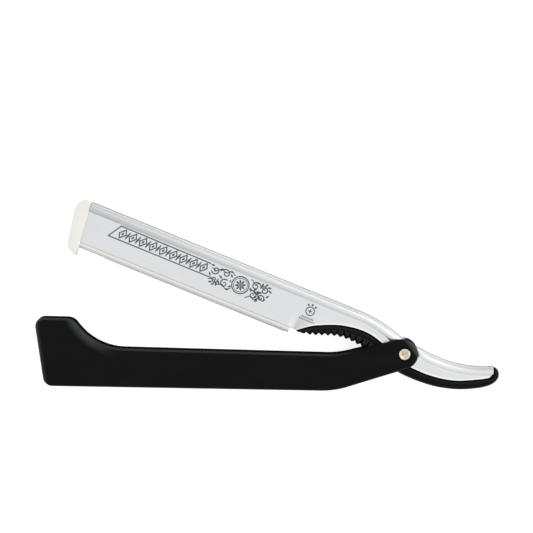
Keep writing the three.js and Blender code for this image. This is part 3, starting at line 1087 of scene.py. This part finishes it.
def plastic_material(name, dark, light, rough_low, rough_high, level, slope, grain_scale=6.0,
                     strength=0.18, painted_light=False, painted_sheen_or_grooves=None):
    material, tree, shader = node_material(name, {"Metallic": 0.0, "Specular IOR Level": level})
    fine = noise_node(tree, mapped(tree, slope, (grain_scale,) * 3), 1.0, 2.0, 0.5)
    broad = noise_node(tree, mapped(tree, slope, (0.09, 0.15, 0.15)), 1.0, 4.0, 0.6)
    scuff = noise_node(tree, mapped(tree, slope, (0.35, 4.5, 4.5)), 1.0, 3.0, 0.7)
    both = summed(tree, broad, scuff, 0.4)
    colour = blended(tree, ranged(tree, both, 0, 1, 0.5, 0.9), dark, light)
    # Painted light and shade kept on the mesh multiply the plastic's colour.
    if painted_light:
        colour = painted_shaded(tree, colour)
    rough = ranged(tree, both, rough_low, rough_high, 0.45, 0.95)
    if painted_sheen_or_grooves == "painted_highlights":
        # Painted highlights mix the handle's black towards grey; the side walls are made rougher.
        colour = mixed(tree, painted_handle_highlights(tree, slope), colour, (0.076, 0.079, 0.081, 1))
        walls = ranged(tree, rim_height(tree, mapped(tree, slope, (1, 1, 1))), 0, 0.9, 0.6, 1.0)
        rough = worked_out(tree, "MAXIMUM", rough, walls)
    elif painted_sheen_or_grooves == "grooved":
        grooves = ranged(tree, kept_painted_shading(tree, "Fac"), 0.9, 0.3, 0.0, 0.2)
        rough = worked_out(tree, "MAXIMUM", rough, grooves)
    fill(tree, shader, {"Base Color": colour, "Roughness": rough})
    bumped(tree, shader, fine, strength, 0.00003)
    return material


def rim_height(tree, place):
    """How far below the nearer cheek's face a place on the handle lies."""
    return worked_out(tree, "PINGPONG", measured(tree, "DOT_PRODUCT", place, (0, 0, 1)), 1000 * PIVOT.z)


def painted_handle_highlights(tree, slope):
    """Painted highlights grey the black a little on the round of the nose, the upper rim, the foot's end
    and the hollow between the foot and the rim, kept off the side walls.
    """
    place = mapped(tree, slope, (1, 1, 1))
    pivot = Matrix.Rotation(slope, 3, "Z") @ (PIVOT * 1000)

    def ramp(direction, low, high, start, end):
        return ranged(tree, measured(tree, "DOT_PRODUCT", place, direction), low, high, start, end)

    # The nose's painted highlight faces the lamps at the upper right.
    slant = math.radians(38)
    toward = (math.cos(slant), math.sin(slant), 0)
    at_nose = toward[0] * (pivot.x + NOSE.x) + toward[1] * (pivot.y + NOSE.y)
    nose = ramp(toward, 0, 0.85, at_nose + 2.7, at_nose + 4.7)
    at_foot = -END_FACE_X - END_FACE_Y * END_LEAN - pivot.x - END_LEAN * pivot.y
    foot = ramp((-1, -END_LEAN, 0), 0, 0.28, at_foot - 1.6, at_foot - 0.2)
    middle = (pivot.x + FOOT_HOLLOW_X, pivot.y + FOOT_HOLLOW_Y, pivot.z + CHEEK)
    hollow = ranged(tree, measured(tree, "DISTANCE", place, middle), 0.5, 0, 19.6, 21.8)
    hollow = worked_out(tree, "MULTIPLY", hollow, ramp((-1, 0, 0), 0, 1, 91 - pivot.x, 99 - pivot.x))
    height = rim_height(tree, place)
    rim = worked_out(tree, "MULTIPLY", ranged(tree, height, 0, 0.38, 0.26, 0.42),
                     ramp((0, 1, 0), 0, 1, pivot.y - 5, pivot.y - 3))
    rim = worked_out(tree, "MULTIPLY", rim, ramp((-1, 0, 0), 0, 1, 14 - pivot.x, 26 - pivot.x))
    total = worked_out(tree, "MAXIMUM", worked_out(tree, "ADD", nose, foot), hollow)
    total = worked_out(tree, "MAXIMUM", total, rim)
    return worked_out(tree, "MULTIPLY", total, ranged(tree, height, 1, 0, 0.75, 0.95))


def rivet_material(painted_light=False):
    material, tree, shader = node_material("nickel_silver", {"Metallic": 1.0})
    coords = mapped(tree, 0, (1.0, 1.0, 1.0))
    mottle = noise_node(tree, coords, 1.1, 3.0, 0.6)
    fine = noise_node(tree, coords, 7.0, 3.0, 0.6)
    both = summed(tree, mottle, fine, 0.25)
    colour = blended(tree, ranged(tree, both, 0, 1, 0.45, 0.8), (0.45, 0.39, 0.28), (0.78, 0.7, 0.53))
    # A painted highlight kept on the mesh multiplies the rivet's colour.
    if painted_light:
        colour = painted_shaded(tree, colour)
    fill(tree, shader, {"Base Color": colour, "Roughness": ranged(tree, both, 0.26, 0.42, 0.45, 0.8)})
    bumped(tree, shader, both, 0.3, 0.0001)
    return material


def brass_material():
    material, tree, shader = node_material("washer_brass", {"Metallic": 1.0})
    fine = noise_node(tree, mapped(tree, 0, (2.0, 2.0, 2.0)), 1.0, 4.0, 0.6)
    colour = blended(tree, ranged(tree, fine, 0, 1), (0.42, 0.29, 0.11), (0.62, 0.46, 0.2))
    fill(tree, shader, {"Base Color": colour, "Roughness": ranged(tree, fine, 0.28, 0.45)})
    bumped(tree, shader, fine, 0.15, 0.00003)
    return material


def floor_material():
    material, tree, shader = node_material("paper_floor", {
        "Roughness": 0.9, "Specular IOR Level": 0.2,
        "Emission Color": (1, 1, 1, 1), "Emission Strength": 0.68})
    soft = noise_node(tree, mapped(tree, 0, (0.02, 0.02, 0.02)), 1.0, 3.0)
    colour = blended(tree, ranged(tree, soft, 0, 1), (0.72, 0.72, 0.72), (0.75, 0.75, 0.75))
    fill(tree, shader, {"Base Color": colour})
    return material


def spine_depth(x, y):
    """How far a place on the holder lies below the spine."""
    if x < SPINE_FALL:
        return SPINE_HEIGHT - y
    curved = SPINE.points[STRAIGHT_STEPS:]
    return min(math.hypot(p.x - x, p.y - y) for p in curved if abs(p.x - x) < 1.6)


def edge_distance(x, y):
    """How far a place on the holder lies from its free edge, from the heel to the tail's end."""
    if x < HEEL_X:
        return math.hypot(x - HEEL_X, y - EDGE_HEIGHT)
    return min(math.hypot(p.x - x, p.y - y) for p in SHEET_EDGE if abs(p.x - x) < 1.6)


def holder_painted_light(place):
    """Painted light and shade on the steel: painted shade along the spine's outermost line and under the
    roll, painted sheen bands over the roll, and a painted highlight at the free edge.
    """
    x, y = place.x, place.y
    depth = spine_depth(x, y)
    along = clamp((x + 110) / 120)
    # Painted shade along the spine's outermost line.
    level = 1 - 0.42 * (1 - smooth(depth, 0.25, 0.6))
    # Painted sheen over the roll: darker at the toe, brighter towards the pivot, fading again at the
    # tail's end.
    level *= 1 + (1 - smooth(depth, 1.6, 3.0)) * (mix(-0.15, 0.16, along) - 0.16 * smooth(x, 13, 26))
    # Painted highlight band just below the top of the roll, strongest at the toe.
    level *= 1 + mix(0.19, 0.02, along) * hump(depth, 0.85, 0.25)
    # Painted shade lines on the roll from the shank on.
    lines = 0.22 * hump(depth, 0.42, 0.22) + 0.09 * hump(depth, 1.25, 0.3)
    level *= 1 - smooth(along, 0.4, 0.75) * lines
    # Painted shade in the crease under the roll, and below it a painted band, dark at the toe and bright
    # towards the tail.
    under = mix(0.2, 0.03, along) * hump(depth, 2.25, 0.45)
    level *= 1 - under + mix(-0.17, 0.3, along) * hump(depth, 3.0, 0.32)
    # Painted highlight and painted shade where the leaf flares at the heel.
    low = smooth(-y, -0.5, 5.5) if x < -28 else 0.0
    heel = 0.24 * smooth(x, -36.0, -35.0) * (1 - smooth(x, -33.0, -30.0))
    level *= 1 + low * (0.12 * hump(x, -36.9, 0.7) - heel)
    # Painted highlight along the sheet's free edge.
    level *= 1 + 0.42 * (1 - smooth(edge_distance(x, y), 0.35, 0.62))
    return (level, level * 1.003, level * 1.006)


def cartridge_painted_shade(place):
    """Painted shade greys the moulding along its lower lip; the tab and the rail differ slightly in hue.
    """
    # Painted shade on the lower lip, darker and a little bluer towards its bottom.
    low = smooth(-place.y, 6.2, 7.7) if place.x > -108.1 else 0.0
    level = 1 - 0.3 * low - 0.03
    green = 1.014 if place.x > -108.1 else 0.998
    return (level, level * green, level * (1 - 0.012 * (1 - low) + 0.05 * low))


def rivet_painted_highlight(place):
    """A painted highlight brightens the raised rim round the duller dished middle."""
    rim = hump(math.hypot(place.x, place.y), 1.45, 0.28)
    # Painted highlight on the rim, stronger towards the foot's side.
    level = 0.98 + rim * (0.38 - 0.1 * place.x)
    return (level, level, level)


def use(obj, material, body, slot, *nodes):
    obj.data.materials.clear()
    obj.data.materials.append(material)
    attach(obj, body)
    if nodes:
        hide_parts(*nodes)


# ---- pieces

satin_steel = steel_material("satin_steel", (0.76, 0.775, 0.79), (0.83, 0.84, 0.85), 0.28, 0.35,
                             ARM_SLOPE, painted_light=True)
honed_steel = steel_material("honed_steel", (0.5, 0.52, 0.54), (0.62, 0.64, 0.66), 0.2, 0.3,
                             ARM_SLOPE, 2.2)
oxide = steel_material("engraving_oxide", (0.1, 0.1, 0.1), (0.2, 0.2, 0.2), 0.5, 0.7, ARM_SLOPE)
handle_black = plastic_material("handle_black", (0.0022, 0.0024, 0.0024), (0.0034, 0.0036, 0.0036),
                                0.3, 0.42, 0.08, HANDLE_SLOPE, painted_sheen_or_grooves="painted_highlights")
core_black = plastic_material("core_black", (0.02, 0.0205, 0.021), (0.03, 0.0305, 0.031),
                              0.4, 0.52, 0.08, ARM_SLOPE, 7.0, painted_light=True, painted_sheen_or_grooves="grooved")
ivory = plastic_material("ivory_plastic", (0.85, 0.835, 0.8), (0.89, 0.875, 0.845), 0.34, 0.46, 0.35,
                         ARM_SLOPE, 3.0, 0.1, True)

use(make_handle(), handle_black, "handle_body", "handle_plastic", "handle")
rivet = make_rivet()
keep_painted_shading(rivet.data, HANDLE_FRAME, rivet_painted_highlight)
use(rivet, rivet_material(True), "handle_body", "pivot_metal", "pivot_rivet")
use(make_burr(), rivet_material(), "handle_body", "pivot_metal", "rivet_burr")
brass = brass_material()
use(make_washer("front_thrust_washer", 1.85), brass, "handle_body", "washer_metal", "front_washer")
use(make_washer("back_thrust_washer", -2.35), brass, "handle_body", "washer_metal", "back_washer")
holder = make_holder()
keep_painted_shading(holder.data, ARM_FRAME, holder_painted_light)
use(holder, satin_steel, "blade_arm", "holder_steel", "holder_shell")
use(make_core(), core_black, "blade_arm", "core_plastic", "grip_core")
cartridge = make_insert()
keep_painted_shading(cartridge.data, ARM_FRAME, cartridge_painted_shade)
use(cartridge, ivory, "blade_arm", "insert_plastic", "blade_insert")
use(make_blade(), honed_steel, "blade_arm", "blade_steel", "blade")
use(make_engraving(), oxide, "blade_arm", "holder_steel")

# ---- floor, light, camera

floor_mesh = raw_mesh("floor", [(-3, -3, 0), (3, -3, 0), (3, 3, 0), (-3, 3, 0)], [(0, 1, 2, 3)],
                      Matrix.Translation((0, 0, -0.00002)))
floor_piece = link("floor", floor_mesh)
floor_mesh.materials.append(floor_material())


def make_world():
    """A soft white studio: bright overhead, dimmer towards the horizon, brighter on the right."""
    world = bpy.data.worlds.new("studio")
    world.use_nodes = True
    tree = world.node_tree
    background = tree.nodes["Background"]
    background.inputs["Color"].default_value = (1, 1, 1, 1)
    source = tree.nodes.new("ShaderNodeTexCoord")
    split = tree.nodes.new("ShaderNodeSeparateXYZ")
    tree.links.new(source.outputs["Generated"], split.inputs["Vector"])
    height = ranged(tree, split.outputs["Z"], 0.42, 0.9, 0.0, 0.85)
    side = ranged(tree, split.outputs["X"], -0.06, 0.1, -1.0, 1.0)
    tree.links.new(summed(tree, height, side, 1.0), background.inputs["Strength"])
    bpy.context.scene.world = world


make_world()


def softbox(name, location, size_x, size_y, power):
    data = bpy.data.lights.new(name, "AREA")
    data.shape = "RECTANGLE"
    data.size = size_x
    data.size_y = size_y
    data.energy = power
    obj = link(name, data)
    obj.location = location
    aim = Vector((0, 0, 0)) - Vector(location)
    obj.rotation_mode = "QUATERNION"
    obj.rotation_quaternion = aim.to_track_quat("-Z", "Y")


softbox("left_box", (-1.25, 0.1, 0.55), 0.5, 0.8, 3)
softbox("right_box", (1.25, 0.25, 0.5), 0.5, 0.8, 6)
softbox("near_box", (0.5, 0.45, 0.75), 0.3, 0.3, 0.55)

camera_data = bpy.data.cameras.new("camera")
camera_data.sensor_width = 36
camera_data.lens = 171.36
camera_data.clip_start = 0.01
camera_data.clip_end = 20
camera = link("camera", camera_data)
eye = Vector((0.010402, 0.072956, 0.804))
target = Vector((-0.000198, 0.008956, 0.004))
camera.location = eye
back = (eye - target).normalized()
right = Vector((0, 1, 0)).cross(back).normalized()
upward = back.cross(right)
camera.rotation_mode = "QUATERNION"
camera.rotation_quaternion = Matrix((right, upward, back)).transposed().to_quaternion()
bpy.context.scene.camera = camera

bpy.context.scene.view_settings.view_transform = "Standard"
